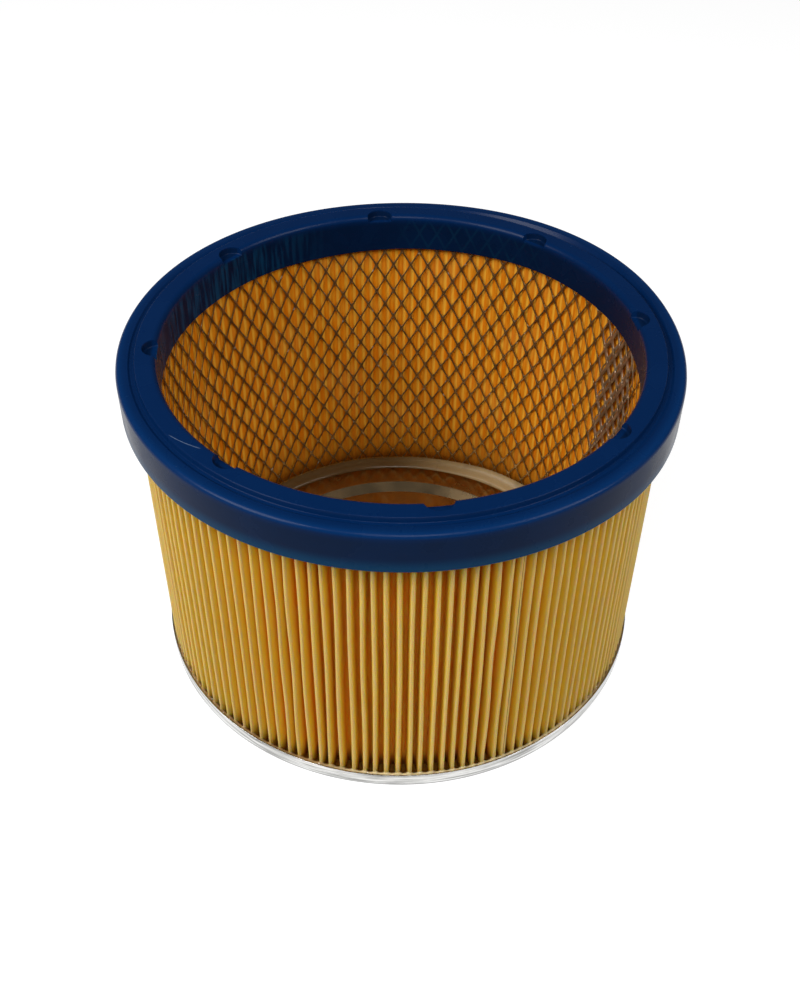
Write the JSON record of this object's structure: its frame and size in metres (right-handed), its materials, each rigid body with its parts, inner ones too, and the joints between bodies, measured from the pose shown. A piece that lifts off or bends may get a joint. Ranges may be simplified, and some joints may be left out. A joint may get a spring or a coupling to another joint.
{
  "type": "vacuum cartridge filter",
  "caption": "Short round cartridge filter: pleated paper ring on an expanded-metal tube, closed by a pressed metal pan below and a moulded seal ring with an open bore on top.",
  "frame": {"origin": "centre of the end cap's underside, on the surface that the filter stands on", "axes": "+Z along the filter's axis, from the closed pan towards the open seal ring; -Y is the picture's front"},
  "size_m": [0.185, 0.185, 0.124],
  "materials": {
    "seal_elastomer": "smooth moulded elastomer, dark blue, satin to glossy",
    "filter_paper": "impregnated filter paper, yellow tan, matte",
    "expanded_metal": "galvanised expanded metal, dull grey",
    "pan_metal": "bright tinned sheet, lightly drawn",
    "potting_resin": "cast cream adhesive, slightly translucent"
  },
  "bodies": {
    "root": {"seal_ring": "seal_elastomer", "pleated_media": "filter_paper", "support_mesh": "expanded_metal", "end_cap": "pan_metal", "potting_ring": "potting_resin"}
  },
  "joints": []
}
